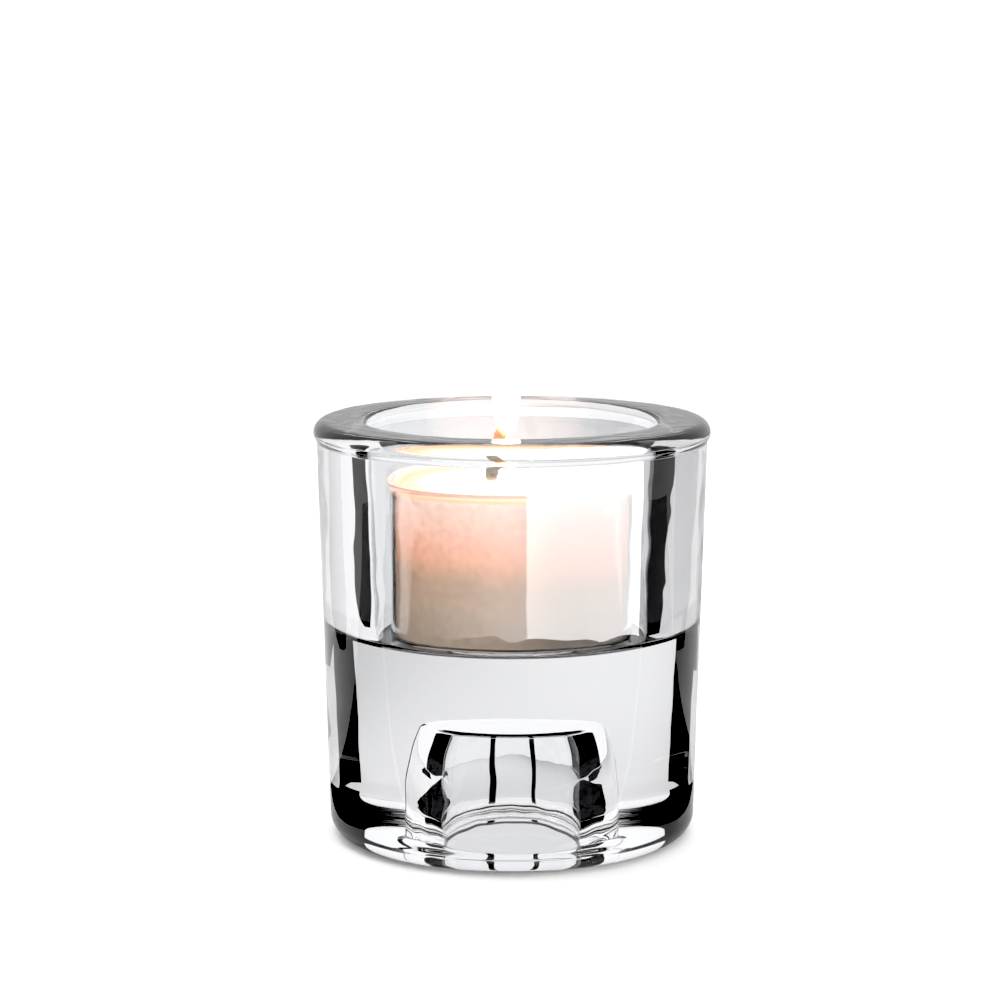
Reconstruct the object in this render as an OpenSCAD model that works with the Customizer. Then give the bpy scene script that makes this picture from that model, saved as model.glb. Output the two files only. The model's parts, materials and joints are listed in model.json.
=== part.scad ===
// Reversible glass candle holder with a tealight in its top well.
// The well takes a tealight. Turned over, the socket in the underside takes a taper candle.
// Millimetres, +Z up. The origin is the centre of the foot, on the surface it stands on.

/* [Glass holder] */
// Total height of the glass
holder_h = 65; // [54:0.5:80]
// Outer diameter over the rim bead
rim_d = 61.2; // [50:0.2:76]
// How far the rim bead stands proud of the wall
bead_proud = 0.5; // [0.2:0.1:1]
// Radius of the rounded rim bead
bead_r = 1.9; // [1:0.1:2.5]
// Radius of the fillet under the rim bead
bead_fillet_r = 0.8; // [0.4:0.1:1.5]
// Draft angle of the outer wall
wall_draft = 1.6; // [0.5:0.1:3]
// Radius of the rounded foot edge
foot_edge_r = 3.4; // [1:0.1:4]

/* [Tealight well] */
// Depth of the well below the rim
well_depth = 33; // [24:0.5:40]
// Gap between the tealight's lip and the well's mouth, all round
well_clearance = 2.8; // [2:0.1:4]
// Draft angle of the well's wall
well_draft = 2; // [0.5:0.1:3]
// Radius of the rounded mouth edge
well_mouth_r = 1.6; // [0.5:0.1:2.5]
// Radius of the fillet round the well's floor
well_floor_r = 1.2; // [0.5:0.1:1.8]

/* [Taper socket] */
// Depth of the taper-candle socket, from the foot up
socket_depth = 19; // [14:0.5:23]
// Diameter of the socket's straight land, just inside its mouth
socket_d = 21.6; // [20:0.2:28]
// Height at which the straight land ends and the wall starts to curve in
socket_land = 8; // [4:0.5:10]
// Diameter of the socket at its inner end
socket_end_d = 18.4; // [15:0.1:19]
// Radius of the fillet round the socket's inner end
socket_end_r = 1.0; // [0.5:0.1:3]
// Radius of the rounded socket mouth
socket_mouth_r = 1.2; // [0.5:0.1:2]

/* [Tealight cup] */
// Diameter of the cup over its lip
tealight_d = 38.8; // [32:0.2:47]
// Height of the cup
cup_h = 24.4; // [18:0.2:30]
// How far the lip stands proud of the cup's wall
lip_proud = 0.7; // [0.3:0.1:1]
// Height of the lip
lip_h = 0.7; // [0.5:0.1:1.5]
// Thickness of the cup's wall
cup_wall = 0.6; // [0.4:0.05:0.8]
// Thickness of the cup's floor
cup_floor = 0.7; // [0.4:0.05:1]
// Radius of the cup's rounded lower edge
cup_edge_r = 1.0; // [0.9:0.1:1.6]

/* [Wax] */
// Gap between the wax and the cup's wall
wax_clearance = 0.3; // [0.1:0.05:0.5]
// Depth of the wax surface below the cup's lip
wax_drop = 0.6; // [0.3:0.1:4]

/* [Wick] */
// Diameter of the wick
wick_d = 1.8; // [1.2:0.1:2.4]
// Distance of the wick from the cup's axis: the wick was set a little to the left
wick_off = 3.2; // [0:0.1:4]
// Height of the wick above the wax, measured straight up
wick_stand = 8.6; // [4:0.2:11]
// Angle that the free end of the wick leans over
wick_lean = 16; // [5:1:40]
// Height of the straight foot of the wick above the wax
wick_foot = 2; // [1:0.5:3]
// Diameter of the wick's burnt end
wick_end_d = 1.5; // [1:0.1:2]

/* [Wick sustainer] */
// Diameter of the sustainer's disc
sustainer_d = 12.5; // [10:0.1:16]
// Thickness of the sustainer's sheet metal
sustainer_t = 0.3; // [0.2:0.05:0.5]
// Height of the sustainer's neck above its disc
neck_h = 3; // [2:0.1:6]
// Wall of the sustainer's neck
neck_wall = 0.3; // [0.2:0.05:0.5]

/* [Hidden] */
$fn = 96;

rim_r = rim_d / 2;
well_top_r = tealight_d / 2 + well_clearance;
rim_width = rim_r - well_top_r;
// On a narrow rim the bead and the mouth's rounding shrink, so that a flat ring stays between
rim_bead_r = min(bead_r, 0.5 * rim_width);
mouth_round_r = min(well_mouth_r, 0.4 * rim_width);
wall_r = rim_r - bead_proud;
bead_z = holder_h - rim_bead_r;
// The wall's radius at a height: it is widest just under the bead
function wall_at(z) = wall_r - (bead_z - z) * tan(wall_draft);

well_z = holder_h - well_depth;
function well_at(z) = well_top_r - (holder_h - z) * tan(well_draft);

cup_r = tealight_d / 2 - lip_proud;
cup_z = well_z;
cup_top = cup_z + cup_h;

wax_r = cup_r - cup_wall - wax_clearance;
wax_z = cup_z + cup_floor;
wax_top = cup_top - wax_drop;
wax_edge_r = cup_edge_r - cup_wall;

wick_r = wick_d / 2;
wick_z = wax_z + sustainer_t;
neck_r = wick_r + neck_wall;

// A small overlap that keeps cutting shapes clear of the faces they cut
over = 1;

// Rounded lower corner of a drafted wall, as a filled shape from the axis out to the wall.
// foot_r is the wall's radius at height z, and it widens upward by the draft to height top.
module drafted_disc(foot_r, z, top, draft, edge_r) {
    centre_r = foot_r - edge_r * (1 - sin(draft)) / cos(draft);
    polygon([
        [0, z],
        [centre_r, z],
        [centre_r + edge_r * cos(draft), z + edge_r * (1 - sin(draft))],
        [foot_r + (top - z) * tan(draft), top],
        [0, top]
    ]);
    translate([centre_r, z + edge_r]) circle(edge_r);
}

// Rounds the edge of a hole: the corner between a level face at z and a wall at radius r.
// up is 1 where the glass lies above the face, and -1 where it lies below.
module mouth_edge(r, z, edge_r, up) {
    difference() {
        translate([r - edge_r, up > 0 ? z - over : z - edge_r])
            square([2 * edge_r, edge_r + over]);
        translate([r + edge_r, z + up * edge_r]) circle(edge_r);
        translate([r + edge_r, z - 2 * edge_r]) square([2 * edge_r, 4 * edge_r]);
    }
}

// Half-section of the holder's outside, with its rounded foot edge and rim bead
module outer_section() {
    fillet_r = wall_r + bead_fillet_r;
    fillet_z = bead_z - sqrt(
        pow(rim_bead_r + bead_fillet_r, 2) - pow(fillet_r - rim_r + rim_bead_r, 2));
    drafted_disc(wall_at(0), 0, fillet_z, wall_draft, foot_edge_r);
    translate([0, fillet_z - over]) square([rim_r - rim_bead_r, holder_h - fillet_z + over]);
    translate([rim_r - rim_bead_r, bead_z]) circle(rim_bead_r);
    difference() {
        polygon([
            [rim_r - rim_bead_r, fillet_z],
            [wall_at(fillet_z), fillet_z],
            [fillet_r, fillet_z],
            [rim_r - rim_bead_r, bead_z]
        ]);
        translate([fillet_r, fillet_z]) circle(bead_fillet_r);
    }
}

// Half-section of the tealight well, which is open at the top
module well_section() {
    drafted_disc(well_at(well_z), well_z, holder_h, well_draft, well_floor_r);
    translate([0, holder_h - over]) square([well_top_r - mouth_round_r, 2 * over]);
    mouth_edge(well_at(holder_h - mouth_round_r), holder_h, mouth_round_r, -1);
}

// Half-section of the taper socket, which is open at the foot: a straight land, and above it
// a wall that curves in, to wedge the foot of the candle
module socket_section() {
    socket_r = socket_d / 2;
    rise = socket_depth - socket_land;
    narrowing = (socket_d - socket_end_d) / 2;
    curve_r = (rise * rise + narrowing * narrowing) / (2 * narrowing);
    curve_x = socket_r - curve_r;
    corner_rise = rise - socket_end_r;
    corner_x = curve_x + sqrt(pow(curve_r - socket_end_r, 2) - pow(corner_rise, 2));
    tangent = atan2(corner_rise, corner_x - curve_x);
    tangent_z = socket_land + curve_r * sin(tangent);
    translate([0, -over]) square([socket_r, socket_land + over]);
    intersection() {
        translate([curve_x, socket_land]) circle(curve_r, $fn = 720);
        polygon([
            [0, socket_land - over],
            [socket_r, socket_land - over],
            [socket_r, tangent_z],
            [curve_x + curve_r * cos(tangent), tangent_z],
            [corner_x, socket_depth],
            [0, socket_depth]
        ]);
    }
    translate([corner_x, socket_depth - socket_end_r]) circle(socket_end_r);
    mouth_edge(socket_r, 0, socket_mouth_r, 1);
}

module glass_holder() {
    color([0.90, 0.93, 0.94, 0.45])
        rotate_extrude($fn = 180)
            difference() {
                outer_section();
                well_section();
                socket_section();
            }
}

// Clear cup: a thin drafted-edge shell with a small outward lip
module tealight_cup() {
    inner_r = cup_r - cup_wall;
    color([0.96, 0.93, 0.90, 0.35])
        rotate_extrude($fn = 144)
            difference() {
                union() {
                    drafted_disc(cup_r, cup_z, cup_top, 0, cup_edge_r);
                    translate([0, cup_top - lip_h]) square([tealight_d / 2, lip_h]);
                }
                drafted_disc(inner_r, wax_z, cup_top + over, 0, wax_edge_r);
            }
}

// Disc and crimped neck, pressed from one sheet
module sustainer_body(bore) {
    difference() {
        union() {
            translate([-wick_off, 0, wax_z]) cylinder(h = sustainer_t, d = sustainer_d);
            translate([-wick_off, 0, wax_z]) cylinder(h = sustainer_t + neck_h, r = neck_r);
        }
        if (bore)
            translate([-wick_off, 0, wick_z]) cylinder(h = neck_h + over, r = wick_r);
    }
}

module wick_sustainer() {
    color([0.80, 0.80, 0.82]) sustainer_body(true);
}

// Straight run through the wax, and a thinner burnt end that leans to the right
module wick() {
    end_length = (wick_stand - wick_foot) / cos(wick_lean);
    color([0.25, 0.22, 0.20]) {
        translate([-wick_off, 0, wick_z]) cylinder(h = wax_top + wick_foot - wick_z, r = wick_r);
        translate([-wick_off, 0, wax_top + wick_foot - wick_r])
            rotate([0, wick_lean, 0])
                cylinder(h = end_length + wick_r, d = wick_end_d);
    }
}

// Wax fill, cast round the sustainer and the wick
module wax() {
    color([0.96, 0.80, 0.72])
        difference() {
            rotate_extrude($fn = 144)
                drafted_disc(wax_r, wax_z, wax_top, 0, wax_edge_r);
            sustainer_body(false);
            translate([-wick_off, 0, wax_z]) cylinder(h = wax_top - wax_z + over, r = wick_r);
        }
}

glass_holder();
tealight_cup();
wax();
wick();
wick_sustainer();
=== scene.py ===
"""The looks of a reversible glass tealight holder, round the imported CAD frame.

Lengths are in metres, +Z up, and the photographed side faces -Y.
"""
import json
import math

import bmesh
import bpy
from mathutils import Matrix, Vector, noise


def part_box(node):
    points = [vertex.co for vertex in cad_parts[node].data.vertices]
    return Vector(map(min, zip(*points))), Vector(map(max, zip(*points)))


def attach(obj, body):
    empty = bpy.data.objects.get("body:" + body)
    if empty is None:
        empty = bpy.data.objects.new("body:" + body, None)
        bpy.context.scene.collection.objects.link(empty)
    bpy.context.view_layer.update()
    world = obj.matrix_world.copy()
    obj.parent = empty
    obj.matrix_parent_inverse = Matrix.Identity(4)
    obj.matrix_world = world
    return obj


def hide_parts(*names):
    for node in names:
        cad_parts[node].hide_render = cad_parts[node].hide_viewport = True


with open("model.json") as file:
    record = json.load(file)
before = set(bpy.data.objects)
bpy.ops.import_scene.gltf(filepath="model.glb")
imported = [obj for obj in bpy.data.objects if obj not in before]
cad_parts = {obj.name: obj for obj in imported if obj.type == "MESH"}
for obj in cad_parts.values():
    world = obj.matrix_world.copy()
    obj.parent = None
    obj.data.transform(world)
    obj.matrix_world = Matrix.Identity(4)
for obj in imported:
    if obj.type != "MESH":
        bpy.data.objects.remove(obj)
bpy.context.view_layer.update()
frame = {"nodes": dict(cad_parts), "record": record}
MM = 0.001
SCENE = bpy.context.scene

# ---------------------------------------------------------------- sizes, from the frame
GLASS_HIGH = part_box("glass_holder")[1]
CUP_LOW, CUP_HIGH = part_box("tealight_cup")
WAX_LOW, WAX_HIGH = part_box("wax")
WICK_LOW, WICK_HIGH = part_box("wick")
DISC_LOW, DISC_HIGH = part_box("wick_sustainer")
MOUNTS = {m["name"]: m for m in frame["record"]["mounts"]}

HOLDER_H = GLASS_HIGH[2]
RIM_R = GLASS_HIGH[0]
WELL_Z = CUP_LOW[2]
LIP_R = CUP_HIGH[0]
CUP_TOP = CUP_HIGH[2]
WAX_R = WAX_HIGH[0]
WAX_Z = WAX_LOW[2]
WAX_TOP = WAX_HIGH[2]
WICK_X = (DISC_LOW[0] + DISC_HIGH[0]) / 2
WICK_TIP = Vector((WICK_HIGH[0] - 0.75 * MM, 0, WICK_HIGH[2]))

# The rest of the CAD section's sizes, as in the part's source
BEAD_PROUD = 0.5 * MM
BEAD_R = 1.9 * MM
BEAD_FILLET_R = 0.8 * MM
WALL_DRAFT = math.radians(1.6)
FOOT_EDGE_R = 3.4 * MM
WELL_CLEARANCE = 2.8 * MM
WELL_DRAFT = math.radians(2)
WELL_MOUTH_R = 1.6 * MM
WELL_FLOOR_R = 1.2 * MM
SOCKET_R = MOUNTS["taper_socket"]["dims"]["r_mm"] * MM
SOCKET_DEPTH = 19 * MM
SOCKET_LAND = 8 * MM
SOCKET_END_R = 9.2 * MM
SOCKET_FILLET_R = 1.0 * MM
SOCKET_EDGE_R = 1.2 * MM
LIP_PROUD = 0.7 * MM
LIP_H = 0.7 * MM
CUP_WALL = 0.6 * MM
CUP_FLOOR = 0.7 * MM
CUP_EDGE_R = 1.0 * MM

# ---------------------------------------------------------------- camera
CAM_DISTANCE = 0.482
CAM_HEIGHT = 0.1285
CAM_PITCH = math.radians(9.04)
CAM_LENS = 113
CAM_SENSOR = 36
OBJECT_RIGHT_OF_CENTRE = 0.0094


def make_camera():
    data = bpy.data.cameras.new("camera")
    data.sensor_width = CAM_SENSOR
    data.lens = CAM_LENS
    data.shift_x = -OBJECT_RIGHT_OF_CENTRE
    data.clip_end = 50
    cam = bpy.data.objects.new("camera", data)
    SCENE.collection.objects.link(cam)
    cam.location = (0, -CAM_DISTANCE, CAM_HEIGHT)
    cam.rotation_euler = (math.pi / 2 - CAM_PITCH, 0, 0)
    SCENE.camera = cam


make_camera()


# ---------------------------------------------------------------- mesh helpers
def link_mesh(name, verts, faces, smooth=True):
    mesh = bpy.data.meshes.new(name)
    mesh.from_pydata([tuple(v) for v in verts], [], faces)
    mesh.validate()
    bm = bmesh.new()
    bm.from_mesh(mesh)
    bmesh.ops.recalc_face_normals(bm, faces=bm.faces)
    bm.to_mesh(mesh)
    bm.free()
    if smooth:
        mesh.shade_smooth()
    obj = bpy.data.objects.new(name, mesh)
    SCENE.collection.objects.link(obj)
    return obj


def arc(centre, radius, start, end, steps):
    """Points along an arc. Angles are in degrees, from the first axis."""
    points = []
    for i in range(steps + 1):
        a = math.radians(start + (end - start) * i / steps)
        points.append((centre[0] + radius * math.cos(a), centre[1] + radius * math.sin(a)))
    return points


def line(start, end, step):
    """Points from start to end, a step apart or less, leaving out both ends."""
    n = max(1, math.ceil(math.dist(start, end) / step))
    return [
        (start[0] + (end[0] - start[0]) * i / n, start[1] + (end[1] - start[1]) * i / n)
        for i in range(1, n)
    ]


def joined(parts, step):
    """One outline through all the parts, with the straight gaps between them filled."""
    out = []
    for part in parts:
        if out and math.dist(out[-1], part[0]) > 1e-7:
            out += line(out[-1], part[0], step)
        for p in part:
            if not out or math.dist(out[-1], p) > 1e-7:
                out.append(p)
    return out


def revolve(name, outline, segments, shift=None):
    """Turns an outline of (r, z) points about Z. shift(r, angle, z) gives a point's r and z."""
    verts, rings = [], []
    for r, z in outline:
        if r < 1e-7:
            verts.append((0, 0, z))
            rings.append([len(verts) - 1] * segments)
            continue
        ring = []
        for k in range(segments):
            a = 2 * math.pi * k / segments
            moved_r, moved_z = shift(r, a, z) if shift else (r, z)
            verts.append((moved_r * math.cos(a), moved_r * math.sin(a), moved_z))
            ring.append(len(verts) - 1)
        rings.append(ring)
    faces = []
    for low, high in zip(rings, rings[1:]):
        for k in range(segments):
            n = (k + 1) % segments
            face = []
            for v in (low[k], low[n], high[n], high[k]):
                if v not in face:
                    face.append(v)
            faces.append(face)
    return link_mesh(name, verts, faces)


# ---------------------------------------------------------------- materials
def new_material(name):
    mat = bpy.data.materials.new(name)
    mat.use_nodes = True
    nodes = mat.node_tree.nodes
    shader = nodes["Principled BSDF"]
    return mat, nodes, mat.node_tree.links, shader


def feed(links, value, socket):
    """Gives an input its value: a number, a colour or another node's socket."""
    if isinstance(value, bpy.types.NodeSocket):
        links.new(value, socket)
    elif isinstance(value, tuple):
        socket.default_value = (*value, 1)
    else:
        socket.default_value = value


def object_space(nodes, links):
    """The piece's own coordinates, as one socket and as a node that splits them."""
    coords = nodes.new("ShaderNodeTexCoord").outputs["Object"]
    split = nodes.new("ShaderNodeSeparateXYZ")
    links.new(coords, split.inputs["Vector"])
    return coords, split


def noise_texture(nodes, links, coords, scale, detail):
    node = nodes.new("ShaderNodeTexNoise")
    node.inputs["Scale"].default_value = scale
    node.inputs["Detail"].default_value = detail
    links.new(coords, node.inputs["Vector"])
    return node


def bumped(nodes, links, shader, height, distance, strength):
    """Bumps the shader's surface by height. strength is a number or a socket."""
    node = nodes.new("ShaderNodeBump")
    node.inputs["Distance"].default_value = distance
    feed(links, strength, node.inputs["Strength"])
    links.new(height, node.inputs["Height"])
    links.new(node.outputs["Normal"], shader.inputs["Normal"])


def coloured(nodes, links, factor, first, last, between):
    """A colour ramp from first to last. between lists (position, colour) pairs."""
    node = nodes.new("ShaderNodeValToRGB")
    stops = node.color_ramp.elements
    stops[0].position = 0.0
    stops[0].color = (*first, 1)
    stops[1].position = 1.0
    stops[1].color = (*last, 1)
    for position, colour in between:
        stops.new(position).color = (*colour, 1)
    links.new(factor, node.inputs["Fac"])
    return node.outputs["Color"]


def scaled(nodes, links, factor, low, high):
    """Goes from low to high as factor goes from 0 to 1. high is a number or a socket."""
    node = nodes.new("ShaderNodeMapRange")
    node.inputs["To Min"].default_value = low
    feed(links, high, node.inputs["To Max"])
    links.new(factor, node.inputs["Value"])
    return node.outputs["Result"]


def product(nodes, links, first, second):
    """first times second. second is a number or a socket."""
    node = nodes.new("ShaderNodeMath")
    node.operation = "MULTIPLY"
    links.new(first, node.inputs[0])
    feed(links, second, node.inputs[1])
    return node.outputs["Value"]


def times_plus(nodes, links, first, number, second):
    """first times number, plus second."""
    node = nodes.new("ShaderNodeMath")
    node.operation = "MULTIPLY_ADD"
    node.inputs[1].default_value = number
    links.new(first, node.inputs[0])
    links.new(second, node.inputs[2])
    return node.outputs["Value"]


def value_of(nodes, links, socket, low, high, smooth=True):
    """A Map Range node from low..high to 0..1, fed by socket."""
    node = nodes.new("ShaderNodeMapRange")
    node.interpolation_type = "SMOOTHSTEP" if smooth else "LINEAR"
    node.inputs["From Min"].default_value = low
    node.inputs["From Max"].default_value = high
    links.new(socket, node.inputs["Value"])
    return node.outputs["Result"]


def mixed(nodes, links, factor, first, second, blend="MIX"):
    """The colour first, and second as factor rises to 1. Each is a colour or a socket."""
    node = nodes.new("ShaderNodeMix")
    node.data_type = "RGBA"
    node.blend_type = blend
    feed(links, first, node.inputs["A"])
    feed(links, second, node.inputs["B"])
    feed(links, factor, node.inputs["Factor"])
    return node.outputs["Result"]


def glass_material():
    """Clear pressed glass, fire polished. The rim keeps faint swirls from the pressing."""
    mat, nodes, links, shader = new_material("clear_glass")
    shader.inputs["Base Color"].default_value = (0.945, 0.95, 0.96, 1)
    shader.inputs["Roughness"].default_value = 0.0
    shader.inputs["IOR"].default_value = 1.52
    shader.inputs["Transmission Weight"].default_value = 1
    coords, split = object_space(nodes, links)
    swirl = nodes.new("ShaderNodeTexWave")
    swirl.wave_type = "RINGS"
    swirl.rings_direction = "Z"
    swirl.inputs["Scale"].default_value = 90
    swirl.inputs["Distortion"].default_value = 9
    swirl.inputs["Detail"].default_value = 4
    swirl.inputs["Detail Scale"].default_value = 1.6
    links.new(coords, swirl.inputs["Vector"])
    top = value_of(nodes, links, split.outputs["Z"], HOLDER_H - 1.2 * MM, HOLDER_H - 0.2 * MM)
    amount = product(nodes, links, top, 0.55)
    bumped(nodes, links, shader, swirl.outputs["Fac"], 0.06 * MM, amount)
    return mat


# ---------------------------------------------------------------- glass holder
def wall_at(z):
    """The drafted outer wall's radius at a height."""
    return RIM_R - BEAD_PROUD - (HOLDER_H - BEAD_R - z) * math.tan(WALL_DRAFT)


def well_at(z):
    """The drafted well wall's radius at a height."""
    return LIP_R + WELL_CLEARANCE - (HOLDER_H - z) * math.tan(WELL_DRAFT)


def socket_part():
    """The socket's section: its end, its curved wall and its straight land."""
    rise = SOCKET_DEPTH - SOCKET_LAND
    narrowing = SOCKET_R - SOCKET_END_R
    curve_r = (rise ** 2 + narrowing ** 2) / (2 * narrowing)
    curve_x = SOCKET_R - curve_r
    corner_rise = rise - SOCKET_FILLET_R
    corner_x = curve_x + math.sqrt((curve_r - SOCKET_FILLET_R) ** 2 - corner_rise ** 2)
    tangent = math.degrees(math.atan2(corner_rise, corner_x - curve_x))
    corner = arc((corner_x, SOCKET_DEPTH - SOCKET_FILLET_R), SOCKET_FILLET_R, 90, tangent, 8)
    wall = arc((curve_x, SOCKET_LAND), curve_r, tangent, 0, 14)
    mouth = arc((SOCKET_R + SOCKET_EDGE_R, SOCKET_EDGE_R), SOCKET_EDGE_R, 180, 270, 8)
    return [[(0, SOCKET_DEPTH)] + corner, wall, mouth]


def outside_part():
    """The outside's section: foot edge, wall, the fillet under the bead, and the bead."""
    deg = math.degrees
    centre = wall_at(0) - FOOT_EDGE_R * (1 - math.sin(WALL_DRAFT)) / math.cos(WALL_DRAFT)
    foot = arc((centre, FOOT_EDGE_R), FOOT_EDGE_R, -90, -deg(WALL_DRAFT), 14)
    bead_c = (RIM_R - BEAD_R, HOLDER_H - BEAD_R)
    fillet_r = RIM_R - BEAD_PROUD + BEAD_FILLET_R
    reach = BEAD_R + BEAD_FILLET_R
    fillet_c = (fillet_r, bead_c[1] - math.sqrt(reach ** 2 - (fillet_r - bead_c[0]) ** 2))
    meet = deg(math.atan2(fillet_c[1] - bead_c[1], fillet_c[0] - bead_c[0]))
    fillet = arc(fillet_c, BEAD_FILLET_R, 180, 180 + meet, 6)
    return [foot, fillet, arc(bead_c, BEAD_R, meet, 90, 14)]


def well_part():
    """The well's section: the rounded mouth, the wall and the floor."""
    deg = math.degrees
    mouth = arc((well_at(HOLDER_H) + WELL_MOUTH_R, HOLDER_H - WELL_MOUTH_R), WELL_MOUTH_R,
                90, 180, 10)
    centre = well_at(WELL_Z) - WELL_FLOOR_R * (1 - math.sin(WELL_DRAFT)) / math.cos(WELL_DRAFT)
    floor = arc((centre, WELL_Z + WELL_FLOOR_R), WELL_FLOOR_R, -deg(WELL_DRAFT), -90, 8)
    return [mouth, floor, [(0, WELL_Z)]]


def ripple(angle, z, turns, rise, seed):
    """Smooth noise round a wall, from -1 to 1. turns and rise set how fine it is."""
    at = Vector((turns * math.cos(angle) + seed, turns * math.sin(angle) - seed, z * rise))
    return noise.noise(at)


def faded(z, low, high, edge):
    """1 between low and high, falling smoothly to 0 within edge of either."""
    t = min(max((z - low) / edge, 0), 1) * min(max((high - z) / edge, 0), 1)
    return t * t * (3 - 2 * t)


def flow(r, angle, z):
    """Moves a point of the glass as pressing and fire polishing leave it, a little uneven."""
    if r < SOCKET_R + 1 * MM and z < SOCKET_DEPTH + 1 * MM:
        wave = 0.10 * MM * ripple(angle, z, 1.6, 150, 3.1)
        fine = 0.03 * MM * ripple(angle, z, 5, 300, 8.4)
        return r + (wave + fine) * faded(z, 0, SOCKET_DEPTH, 2 * MM), z
    if r > well_at(WELL_Z) - 2 * MM and r < well_at(HOLDER_H) + 0.3 * MM and z > WELL_Z:
        wave = 0.09 * MM * ripple(angle, z, 2.2, 90, 1.7)
        fine = 0.02 * MM * ripple(angle, z, 6, 260, 5.2)
        return r + (wave + fine) * faded(z, WELL_Z, HOLDER_H, 3 * MM), z
    if z > HOLDER_H - 0.05 * MM:
        at = Vector((r * math.cos(angle), r * math.sin(angle), 0)) * 260
        return r, z + 0.03 * MM * noise.noise(at)
    wave = 0.03 * MM * ripple(angle, z, 2.0, 60, 9.3)
    fine = 0.01 * MM * ripple(angle, z, 9, 200, 2.9)
    return r + (wave + fine) * faded(z, 2 * MM, HOLDER_H - 4 * MM, 4 * MM), z


def make_holder():
    outline = joined(socket_part() + outside_part() + well_part(), 0.8 * MM)
    obj = revolve("glass_body", outline, 320, flow)
    obj.data.materials.append(glass_material())
    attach(obj, "holder")
    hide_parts("glass_holder")


make_holder()


# ---------------------------------------------------------------- tealight cup
def make_cup():
    wall_r = LIP_R - LIP_PROUD
    inner_r = wall_r - CUP_WALL
    edge = 0.17 * MM
    outline = joined([
        [(0, WELL_Z)],
        arc((wall_r - CUP_EDGE_R, WELL_Z + CUP_EDGE_R), CUP_EDGE_R, -90, 0, 8),
        [(wall_r, CUP_TOP - 1.8 * MM)],
        [(wall_r + 0.15 * MM, CUP_TOP - LIP_H - 0.2 * MM)],
        arc((LIP_R - edge, CUP_TOP - edge), edge, -45, 135, 8),
        [(inner_r + 0.25 * MM, CUP_TOP - LIP_H)],
        [(inner_r, CUP_TOP - 1.7 * MM)],
        arc((inner_r - 0.4 * MM, WELL_Z + CUP_FLOOR + 0.4 * MM), 0.4 * MM, 0, -90, 6),
        [(0, WELL_Z + CUP_FLOOR)],
    ], 1.0 * MM)

    def uneven(r, angle, z):
        wave = 0.03 * MM * ripple(angle, z, 4, 220, 6.6)
        return r + wave * faded(z, WELL_Z, CUP_TOP, 3 * MM), z

    obj = revolve("clear_cup", outline, 192, uneven)
    obj.data.materials.append(clear_plastic())
    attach(obj, "tealight")
    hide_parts("tealight_cup")


def clear_plastic():
    """Thin clear plastic with fine scratches, and a painted glow at its lip."""
    mat, nodes, links, shader = new_material("clear_plastic")
    shader.inputs["Base Color"].default_value = (0.98, 0.97, 0.95, 1)
    shader.inputs["Roughness"].default_value = 0.03
    shader.inputs["IOR"].default_value = 1.58
    shader.inputs["Transmission Weight"].default_value = 0.92
    coords, split = object_space(nodes, links)
    # Painted glow at the lip, in place of the flame's light that the wall guides to its edge
    painted_lip_glow = value_of(nodes, links, split.outputs["Z"], CUP_TOP - 2.0 * MM, CUP_TOP - 0.2 * MM)
    links.new(mixed(nodes, links, painted_lip_glow, (0.0, 0.0, 0.0), (0.42, 0.25, 0.20)),
              shader.inputs["Emission Color"])
    shader.inputs["Emission Strength"].default_value = 1.0
    scratch = noise_texture(nodes, links, coords, 700, 5)
    bumped(nodes, links, shader, scratch.outputs["Fac"], 0.02 * MM, 0.25)
    return mat


make_cup()


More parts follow.
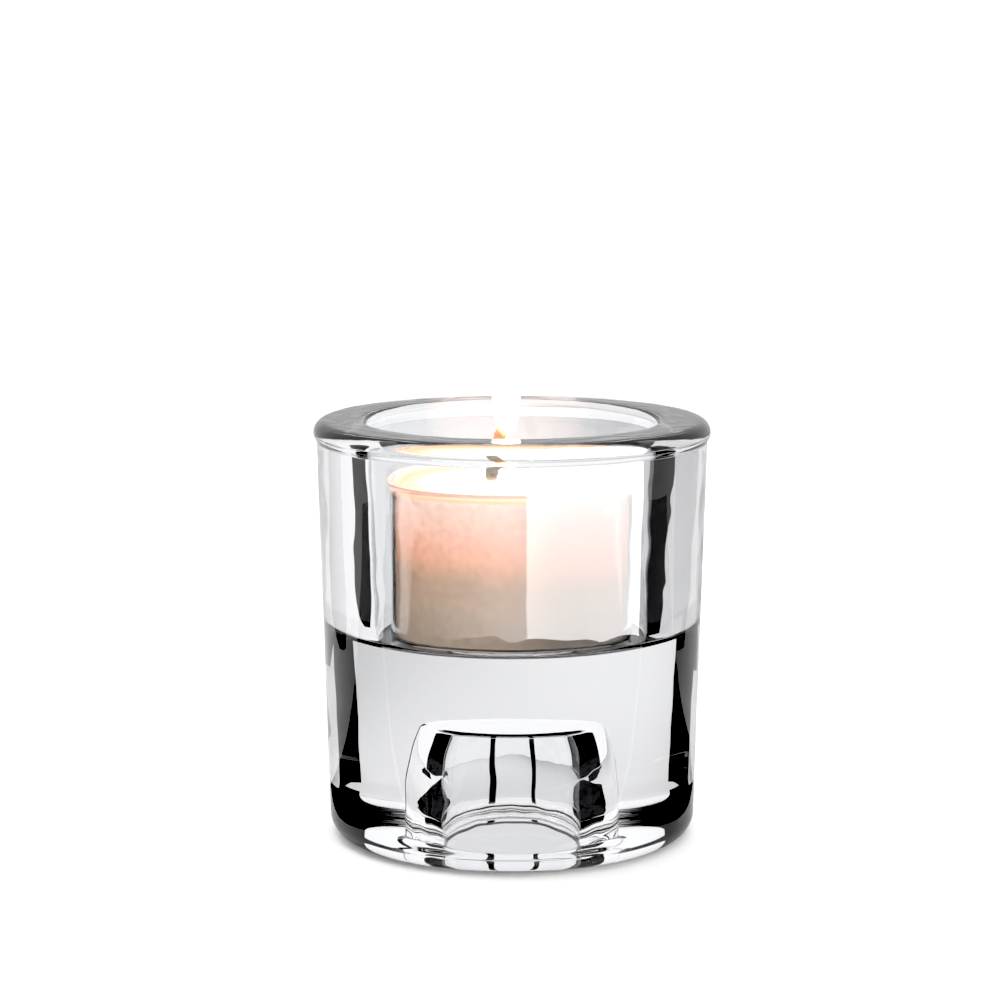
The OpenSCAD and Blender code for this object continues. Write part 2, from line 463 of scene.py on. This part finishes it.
# ---------------------------------------------------------------- wax
def wax_material():
    """Paraffin that the flame lights through, with that light painted as a glow: pale at the
    pool, peach below, then beige.
    """
    mat, nodes, links, shader = new_material("wax")
    coords, split = object_space(nodes, links)
    cloud = noise_texture(nodes, links, coords, 110, 6)
    cloud.inputs["Roughness"].default_value = 0.6
    # The painted glow's height, swayed by the cloud and tipped so that the edge falls to the
    # right
    swayed = times_plus(nodes, links, cloud.outputs["Fac"], 2.4 * MM, split.outputs["Z"])
    tipped = times_plus(nodes, links, split.outputs["X"], 0.05, swayed)
    height = value_of(nodes, links, tipped, WAX_Z, WAX_TOP + 1.2 * MM, smooth=False)
    glow = coloured(nodes, links, height, (0.36, 0.30, 0.25), (1.0, 0.85, 0.77), [
        (0.15, (0.43, 0.345, 0.28)),
        (0.29, (0.51, 0.38, 0.295)),
        (0.43, (0.55, 0.38, 0.275)),
        (0.51, (0.73, 0.435, 0.305)),
        (0.57, (0.93, 0.49, 0.34)),
        (0.70, (1.06, 0.60, 0.465)),
        (0.84, (1.06, 0.71, 0.59)),
    ])
    speck = noise_texture(nodes, links, coords, 900, 4)
    grain = value_of(nodes, links, speck.outputs["Fac"], 0.25, 0.8)
    dimmed = mixed(nodes, links, grain, (0.86, 0.84, 0.82), (1.06, 1.06, 1.06))
    glow = mixed(nodes, links, 1.0, glow, dimmed, "MULTIPLY")
    # Painted shade: the glow is dimmer on the right side, since the softbox's reflection in the
    # glass lies over it
    right = value_of(nodes, links, split.outputs["X"], -3 * MM, 8 * MM)
    glow = mixed(nodes, links, right, glow, (0.52, 0.56, 0.62), "MULTIPLY")
    # Painted glow: the pool round the wick glows yellow-white
    from_wick = nodes.new("ShaderNodeVectorMath")
    from_wick.operation = "DISTANCE"
    from_wick.inputs[1].default_value = (WICK_X + 1.4 * MM, -1.5 * MM, WAX_TOP)
    links.new(coords, from_wick.inputs[0])
    near = value_of(nodes, links, from_wick.outputs["Value"], 6.5 * MM, 1.5 * MM)
    glow = mixed(nodes, links, near, glow, (1.15, 0.81, 0.48))
    # Painted glow: near the cup, where the pool thins, it glows amber
    flat = nodes.new("ShaderNodeCombineXYZ")
    links.new(split.outputs["X"], flat.inputs["X"])
    links.new(split.outputs["Y"], flat.inputs["Y"])
    from_middle = nodes.new("ShaderNodeVectorMath")
    from_middle.operation = "LENGTH"
    links.new(flat.outputs["Vector"], from_middle.inputs[0])
    outer = value_of(nodes, links, from_middle.outputs["Value"], 0.62 * WAX_R, 0.95 * WAX_R)
    upper = value_of(nodes, links, split.outputs["Z"], WAX_TOP - 1.2 * MM, WAX_TOP - 0.5 * MM)
    rim = product(nodes, links, outer, upper)
    glow = mixed(nodes, links, rim, glow, (0.88, 0.40, 0.17))
    links.new(glow, shader.inputs["Emission Color"])
    shader.inputs["Emission Strength"].default_value = 1.3
    tone = mixed(nodes, links, cloud.outputs["Fac"], (0.30, 0.26, 0.22), (0.38, 0.34, 0.30))
    links.new(tone, shader.inputs["Base Color"])
    molten = value_of(nodes, links, split.outputs["Z"], WAX_TOP - 1.4 * MM, WAX_TOP - 0.9 * MM)
    links.new(scaled(nodes, links, molten, 0.42, 0.06), shader.inputs["Roughness"])
    firm = scaled(nodes, links, molten, 0.35, 0.0)
    bumped(nodes, links, shader, speck.outputs["Fac"], 0.08 * MM, firm)
    shader.inputs["Specular IOR Level"].default_value = 0.12
    shader.inputs["Subsurface Weight"].default_value = 0.4
    shader.inputs["Subsurface Radius"].default_value = (1.0, 0.5, 0.3)
    shader.inputs["Subsurface Scale"].default_value = 3 * MM
    return mat


def make_wax():
    dip = 0.35 * MM
    outline = joined([
        [(0, WAX_Z)],
        arc((WAX_R - 0.4 * MM, WAX_Z + 0.4 * MM), 0.4 * MM, -90, 0, 4),
        [(WAX_R, WAX_TOP)],
        [(WAX_R - 0.6 * MM, WAX_TOP - 0.7 * dip)],
        [(WAX_R - 2.0 * MM, WAX_TOP - dip)],
        [(0, WAX_TOP - dip)],
    ], 0.9 * MM)

    def meniscus(r, angle, z):
        if z < WAX_TOP - 2 * dip:
            return r, z
        away = math.hypot(r * math.cos(angle) - WICK_X, r * math.sin(angle))
        return r, z + 0.9 * MM * math.exp(-away / (0.9 * MM))

    obj = revolve("wax_fill", outline, 160, meniscus)
    obj.data.materials.append(wax_material())
    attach(obj, "wax_slug")
    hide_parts("wax")


make_wax()


# ---------------------------------------------------------------- wick and sustainer
def wick_path(t):
    """The wick's middle line, from its foot at 0 to its tip at 1."""
    foot = Vector((WICK_X, 0, WICK_LOW[2]))
    bend = Vector((WICK_X, 0, WAX_TOP + 0.8 * MM))
    waist = bend.lerp(WICK_TIP, 0.5) + Vector((-0.25 * MM, 0.15 * MM, 0))
    knots = [foot, foot.lerp(bend, 0.9), bend, waist, WICK_TIP]
    at = t * (len(knots) - 1)
    i = min(int(at), len(knots) - 2)
    return knots[i].lerp(knots[i + 1], at - i)


def wick_material():
    """Waxed cotton at the foot, charred above the pool, and glowing at the tip."""
    mat, nodes, links, shader = new_material("wick")
    coords, split = object_space(nodes, links)
    flecks = noise_texture(nodes, links, coords, 1500, 5)
    patch = value_of(nodes, links, flecks.outputs["Fac"], 0.35, 0.65)
    char = mixed(nodes, links, patch, (0.035, 0.03, 0.025), (0.20, 0.18, 0.13))
    burnt = value_of(nodes, links, split.outputs["Z"], WAX_TOP - 0.4 * MM, WAX_TOP + 0.8 * MM)
    colour = mixed(nodes, links, burnt, (0.80, 0.72, 0.58), char)
    links.new(colour, shader.inputs["Base Color"])
    shader.inputs["Roughness"].default_value = 0.85
    span = WICK_TIP.z - WAX_TOP
    hot = value_of(nodes, links, split.outputs["Z"], WAX_TOP + 0.55 * span, WICK_TIP.z)
    ember = coloured(nodes, links, hot, (0.10, 0.085, 0.06), (1.0, 0.80, 0.40), [
        (0.15, (0.70, 0.20, 0.08)),
        (0.55, (0.85, 0.33, 0.13)),
        (0.80, (0.95, 0.55, 0.20)),
    ])
    dry = value_of(nodes, links, split.outputs["Z"], WAX_TOP - 0.4 * MM, WAX_TOP + 0.4 * MM)
    links.new(mixed(nodes, links, dry, (0.0, 0.0, 0.0), ember), shader.inputs["Emission Color"])
    shader.inputs["Emission Strength"].default_value = 1.0
    bumped(nodes, links, shader, flecks.outputs["Fac"], 0.1 * MM, 0.6)
    return mat


def braid(angle, z):
    """How high a braid's two sets of strands stand at a point of its surface, from 0 to 2."""
    turn = 2.6 * z / MM
    return abs(math.sin(1.5 * angle + turn)) + abs(math.sin(1.5 * angle - turn))


def make_wick():
    """A tube along the wick's line, with a braid's bumps and a thinner charred end."""
    steps, sides = 170, 30
    verts, faces = [], []
    for i in range(steps + 1):
        t = i / steps
        at = wick_path(t)
        ahead = (wick_path(min(t + 0.01, 1)) - wick_path(max(t - 0.01, 0))).normalized()
        across = Vector((0, 1, 0))
        aside = ahead.cross(across).normalized()
        charred = faded(at.z, WAX_TOP, 1, 1.5 * MM)
        radius = 0.86 * MM * (1 + charred * (0.16 - 0.30 * max(0, t - 0.72) / 0.28))
        for k in range(sides):
            a = 2 * math.pi * k / sides
            lump = noise.noise(Vector((math.cos(a), math.sin(a), at.z / MM * 0.9)) * 1.3)
            r = radius * (0.86 + 0.11 * braid(a, at.z) + 0.16 * charred * lump)
            verts.append(at + r * (math.cos(a) * aside + math.sin(a) * across))
    for i in range(steps):
        low, high = i * sides, (i + 1) * sides
        for k in range(sides):
            n = (k + 1) % sides
            faces.append((low + k, low + n, high + n, high + k))
    tip = wick_path(1) + Vector((0, 0, 0.2 * MM))
    for start, centre in ((0, wick_path(0)), (steps * sides, tip)):
        verts.append(centre)
        for k in range(sides):
            faces.append((start + k, start + (k + 1) % sides, len(verts) - 1))
    obj = link_mesh("wick_braid", verts, faces)
    obj.data.materials.append(wick_material())
    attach(obj, "wax_slug")
    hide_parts("wick")


def steel_material():
    """Thin plated steel with a few dull spots."""
    mat, nodes, links, shader = new_material("plated_steel")
    coords = object_space(nodes, links)[0]
    spots = noise_texture(nodes, links, coords, 500, 6)
    dull = value_of(nodes, links, spots.outputs["Fac"], 0.3, 0.75)
    links.new(mixed(nodes, links, dull, (0.62, 0.62, 0.63), (0.74, 0.74, 0.73)),
              shader.inputs["Base Color"])
    shader.inputs["Metallic"].default_value = 1
    links.new(scaled(nodes, links, dull, 0.22, 0.42), shader.inputs["Roughness"])
    bumped(nodes, links, shader, spots.outputs["Fac"], 0.03 * MM, 0.4)
    return mat


def paint(node, mat):
    obj = frame["nodes"][node]
    for slot in obj.material_slots:
        slot.material = mat


make_wick()
paint("wick_sustainer", steel_material())


# ---------------------------------------------------------------- flame
FLAME_H = 26 * MM
FLAME_R = 2.5 * MM
FLAME_AT = WICK_TIP + Vector((0.2 * MM, 0, -3.2 * MM))
HALO_R = 13 * MM
HALO_AT = WICK_TIP + Vector((0.2 * MM, 0, 4 * MM))
HALO_POWER = 0.09


def flame_material():
    """White at the heart, clear at the edges, and amber low down round the wick."""
    mat, nodes, links, shader = new_material("flame")
    nodes.remove(shader)
    height = object_space(nodes, links)[1].outputs["Z"]
    low = value_of(nodes, links, height, 1 * MM, 8 * MM)
    glow = nodes.new("ShaderNodeEmission")
    glow.inputs["Strength"].default_value = 5
    links.new(mixed(nodes, links, low, (1.0, 0.72, 0.42), (1.0, 0.86, 0.66)),
              glow.inputs["Color"])
    clear = nodes.new("ShaderNodeBsdfTransparent")
    facing = nodes.new("ShaderNodeLayerWeight")
    facing.inputs["Blend"].default_value = 0.5
    solid = value_of(nodes, links, facing.outputs["Facing"], 0.95, 0.15)
    lifted = value_of(nodes, links, height, 0, 5 * MM)
    mix = nodes.new("ShaderNodeMixShader")
    links.new(product(nodes, links, solid, lifted), mix.inputs["Fac"])
    links.new(clear.outputs["BSDF"], mix.inputs[1])
    links.new(glow.outputs["Emission"], mix.inputs[2])
    links.new(mix.outputs["Shader"], nodes["Material Output"].inputs["Surface"])
    return mat


def make_flame():
    """The flame, for the picture only: it rises and falls with the wax and wick."""
    outline = []
    for i in range(41):
        t = i / 40
        width = math.sin(math.pi * t ** 0.62) * (1 - 0.35 * t)
        outline.append((max(FLAME_R * width, 0), t * FLAME_H))
    outline[0] = (0, 0)
    outline[-1] = (0, FLAME_H)
    obj = revolve("flame", outline, 48)
    obj.location = FLAME_AT
    obj.data.materials.append(flame_material())
    obj.visible_shadow = False
    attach(obj, "wax_slug")


def make_halo():
    """The faint warm haze round the flame, as a painted glow."""
    bpy.ops.mesh.primitive_uv_sphere_add(segments=48, ring_count=24, radius=HALO_R)
    obj = bpy.context.object
    obj.name = "flame_halo"
    obj.data.shade_smooth()
    obj.location = HALO_AT
    mat, nodes, links, shader = new_material("flame_halo")
    nodes.remove(shader)
    facing = nodes.new("ShaderNodeLayerWeight")
    facing.inputs["Blend"].default_value = 0.5
    deep = value_of(nodes, links, facing.outputs["Facing"], 1.0, 0.0)
    glow = nodes.new("ShaderNodeEmission")
    glow.inputs["Color"].default_value = (1.0, 0.62, 0.48, 1)
    links.new(product(nodes, links, deep, HALO_POWER), glow.inputs["Strength"])
    clear = nodes.new("ShaderNodeBsdfTransparent")
    both = nodes.new("ShaderNodeAddShader")
    links.new(glow.outputs["Emission"], both.inputs[0])
    links.new(clear.outputs["BSDF"], both.inputs[1])
    links.new(both.outputs["Shader"], nodes["Material Output"].inputs["Surface"])
    obj.data.materials.append(mat)
    obj.visible_shadow = False
    obj.visible_diffuse = False
    obj.visible_glossy = False
    obj.visible_transmission = False
    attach(obj, "wax_slug")


make_flame()
make_halo()


# ---------------------------------------------------------------- stage
FLOOR_Z = -0.05 * MM
FLOOR_SEEN = 1.0
FLOOR_THROUGH = 0.60
# Painted shade: the floor's darker tone on the right, seen through the glass
FLOOR_THROUGH_RIGHT_SHADE = 0.74 * FLOOR_THROUGH
WORLD_SEEN = 1.02
WORLD_BACK = 0.95
WORLD_BACK_GLOSS = 0.82
WORLD_BACK_THROUGH = 0.30
WORLD_FRONT = 0.03
# The softbox's angles are in degrees from the camera's line, positive to the right.
# SOFTBOX_LEFT is its level just left of the edge, and SOFTBOX_FADE how far left it fades out.
SOFTBOX_R = 0.165
SOFTBOX_H = 0.5
SOFTBOX_START = -56
SOFTBOX_END = 76
SOFTBOX_EDGE = 8
SOFTBOX_FADE = 0.16
SOFTBOX_POWER = 13.0
SOFTBOX_LEFT = 0.39
CARD_Z = 0.1 * MM
FAR_SCREEN_R = 0.60
FAR_SCREEN_H = 0.60
NEAR_SCREEN_R = 10 * MM
NEAR_SCREEN_H = 26 * MM


def make_floor():
    """A plain pale floor. Seen directly it is a step lighter than through the glass, and through
    the glass it has a painted shade that darkens it towards the right.
    """
    bpy.ops.mesh.primitive_plane_add(size=2, location=(0, 0, FLOOR_Z))
    floor = bpy.context.object
    floor.name = "floor"
    mat, nodes, links, shader = new_material("floor")
    split = object_space(nodes, links)[1]
    # Painted shade: seen through the glass, the floor darkens towards the right
    right = value_of(nodes, links, split.outputs["X"], -0.04, 0.09)
    through = mixed(nodes, links, right, (FLOOR_THROUGH,) * 3, (FLOOR_THROUGH_RIGHT_SHADE,) * 3)
    seen = nodes.new("ShaderNodeLightPath").outputs["Is Camera Ray"]
    tone = mixed(nodes, links, seen, through, (FLOOR_SEEN,) * 3)
    links.new(tone, shader.inputs["Base Color"])
    shader.inputs["Roughness"].default_value = 0.7
    floor.data.materials.append(mat)


def make_world():
    """White behind the object and overhead, and dark behind the camera, as in a studio."""
    world = bpy.data.worlds.new("world")
    SCENE.world = world
    world.use_nodes = True
    nodes, links = world.node_tree.nodes, world.node_tree.links
    coords = nodes.new("ShaderNodeTexCoord")
    split = nodes.new("ShaderNodeSeparateXYZ")
    links.new(coords.outputs["Generated"], split.inputs["Vector"])
    lean = times_plus(nodes, links, split.outputs["Z"], 0.7, split.outputs["Y"])
    behind = value_of(nodes, links, lean, -0.1, 0.45)
    # Reflections see the back a little dimmer, and the glass sees it brighter
    path = nodes.new("ShaderNodeLightPath")
    level = scaled(nodes, links, path.outputs["Is Glossy Ray"], WORLD_BACK, WORLD_BACK_GLOSS)
    through = path.outputs["Is Transmission Ray"]
    level = times_plus(nodes, links, through, WORLD_BACK_THROUGH, level)
    back = nodes["Background"]
    back.inputs["Color"].default_value = (0.99, 0.99, 1, 1)
    links.new(scaled(nodes, links, behind, WORLD_FRONT, level), back.inputs["Strength"])
    seen = nodes.new("ShaderNodeBackground")
    seen.inputs["Color"].default_value = (1, 1, 1, 1)
    seen.inputs["Strength"].default_value = WORLD_SEEN
    choice = nodes.new("ShaderNodeMixShader")
    links.new(path.outputs["Is Camera Ray"], choice.inputs["Fac"])
    links.new(back.outputs["Background"], choice.inputs[1])
    links.new(seen.outputs["Background"], choice.inputs[2])
    links.new(choice.outputs["Shader"], nodes["World Output"].inputs["Surface"])


def area_light(name, azimuth, elevation, distance, size, power):
    """A round light that is itself never seen. Angles are in degrees: azimuth from straight
    behind the object, positive to the right, and elevation up from the floor.
    """
    data = bpy.data.lights.new(name, "AREA")
    data.shape = "DISK"
    data.size = size
    data.energy = power
    light = bpy.data.objects.new(name, data)
    SCENE.collection.objects.link(light)
    a, e = math.radians(azimuth), math.radians(elevation)
    light.location = (distance * math.sin(a) * math.cos(e), distance * math.cos(a) * math.cos(e),
                      distance * math.sin(e))
    aim = Vector((0, 0, HOLDER_H / 2)) - light.location
    light.rotation_euler = aim.to_track_quat("-Z", "Y").to_euler()
    light.visible_camera = False
    light.visible_glossy = False
    light.visible_transmission = False


def card_material(name, colour, strength):
    mat, nodes, links, shader = new_material(name)
    nodes.remove(shader)
    glow = nodes.new("ShaderNodeEmission")
    glow.inputs["Color"].default_value = (*colour, 1)
    glow.inputs["Strength"].default_value = strength
    links.new(glow.outputs["Emission"], nodes["Material Output"].inputs["Surface"])
    return mat


def hang(obj, through=True):
    """Makes obj a card of the stage: out of direct sight, and seen only in the glass."""
    obj.visible_camera = False
    obj.visible_shadow = False
    obj.visible_diffuse = False
    obj.visible_transmission = through


def floor_card(name, corners):
    """A black card on the floor. corners are (x, y) in metres, in order round it."""
    verts = [(x, y, CARD_Z) for x, y in corners]
    obj = link_mesh(name, verts, [tuple(range(len(verts)))], smooth=False)
    obj.data.materials.append(card_material(name, (1, 1, 1), 0.0))
    hang(obj)


def fan_card(name, side, corners):
    """A black card on the floor, cut to a fan. corners are distances from the middle in mm,
    and degrees from straight behind. side is 1 on the right and -1 on the left.
    """
    points = []
    for r, degrees in corners:
        a = math.radians(degrees)
        points.append((side * r * MM * math.sin(a), r * MM * math.cos(a)))
    floor_card(name, points)


def upright(name, points, foot, height):
    """A thin wall that stands on a line of (x, y) points, from the foot's height up."""
    verts, faces = [], []
    for x, y in points:
        verts += [(x, y, foot), (x, y, height)]
    for i in range(len(points) - 1):
        a, b = 2 * i, 2 * i + 2
        faces.append((a, b, b + 1, a + 1))
    return link_mesh(name, verts, faces)


def standing_screen(name, side, start, end, behind, radius, height):
    """A curved black screen, from start to end degrees off the back, about a point that is
    this far behind the object's middle. side is as in fan_card. It isn't seen in reflections.
    """
    points = arc((0, behind), radius, 90 - side * start, 90 - side * end, 24)
    obj = upright(name, points, CARD_Z, height)
    obj.data.materials.append(card_material(name, (1, 1, 1), 0.0))
    obj.visible_glossy = False
    hang(obj)


def make_cards():
    """The black cards that draw the dark bands in the glass, each where its band looks."""
    floor_card("front_card", [(-0.5, -0.60), (0.5, -0.60), (0.5, -0.036), (-0.5, -0.036)])
    floor_card("foot_card_left", [(-0.036, -0.034), (-0.30, -0.034), (-0.30, 0.022),
                                  (-0.16, 0.024), (-0.036, 0.026)])
    floor_card("foot_card_right", [(0.038, -0.034), (0.30, -0.034), (0.30, 0.048),
                                   (0.14, 0.046), (0.062, 0.046), (0.038, 0.026)])
    fan_card("far_card_left", -1, [(150, 60), (172, 50), (185, 47), (240, 44.5), (300, 47),
                                   (450, 47), (450, 63), (240, 66), (185, 68.5), (150, 68)])
    fan_card("far_card_right", 1, [(150, 60), (165, 58), (185, 55), (205, 51), (255, 50),
                                   (285, 46), (310, 43), (450, 40), (450, 72), (150, 74)])
    standing_screen("near_screen_left", -1, 77, 141, 40 * MM, NEAR_SCREEN_R, NEAR_SCREEN_H)
    standing_screen("near_screen_right", 1, 59.5, 104, 38 * MM, NEAR_SCREEN_R, NEAR_SCREEN_H)
    standing_screen("screen_left", -1, 53, 100, 0, FAR_SCREEN_R, FAR_SCREEN_H)
    standing_screen("screen_right", 1, 43, 100, 0, FAR_SCREEN_R, FAR_SCREEN_H)


def softbox():
    """A tall curved softbox round the front, seen in reflections only. It is bright to the
    right of its edge, and to the left it starts dimmer and fades out.
    """
    points = arc((0, 0), SOFTBOX_R, SOFTBOX_START - 90, SOFTBOX_END - 90, 66)
    obj = upright("softbox", points, 0.2 * MM, SOFTBOX_H)
    mat = card_material("softbox", (1, 1, 1), 1)
    nodes, links = mat.node_tree.nodes, mat.node_tree.links
    split = object_space(nodes, links)[1]
    # The ramp's middle is the sharp edge between the full light and the dimmer left part
    edge = SOFTBOX_R * math.sin(math.radians(SOFTBOX_EDGE))
    along = value_of(nodes, links, split.outputs["X"], edge - SOFTBOX_FADE, edge + SOFTBOX_FADE,
                     smooth=False)
    dim = (SOFTBOX_LEFT,) * 3
    full = (1.0, 1.0, 1.0)
    level = coloured(nodes, links, along, (0.0, 0.0, 0.0), full, [(0.495, dim), (0.505, full)])
    links.new(product(nodes, links, level, SOFTBOX_POWER), nodes["Emission"].inputs["Strength"])
    obj.data.materials.append(mat)
    hang(obj, through=False)


def socket_glow():
    """A pale disc in place of the light that the glass gathers on the floor in the socket."""
    ring = [(0, 0, 0.5 * FLOOR_Z)]
    for k in range(64):
        a = 2 * math.pi * k / 64
        ring.append((0.98 * SOCKET_R * math.cos(a), 0.98 * SOCKET_R * math.sin(a), 0.5 * FLOOR_Z))
    faces = [(0, k + 1, (k + 1) % 64 + 1) for k in range(64)]
    obj = link_mesh("socket_glow", ring, faces, smooth=False)
    obj.data.materials.append(card_material("socket_glow", (0.99, 0.99, 1), 0.85))
    hang(obj)


def make_stage():
    view = SCENE.view_settings
    view.view_transform = "Standard"
    view.use_curve_mapping = True
    view.curve_mapping.black_level = (0.03, 0.03, 0.03)
    make_floor()
    make_world()
    area_light("key", azimuth=-60, elevation=50, distance=1.0, size=0.9, power=4.4)
    area_light("top", azimuth=0, elevation=80, distance=1.5, size=1.6, power=14)
    area_light("fill", azimuth=150, elevation=30, distance=1.2, size=1.0, power=5)
    make_cards()
    softbox()
    socket_glow()


make_stage()
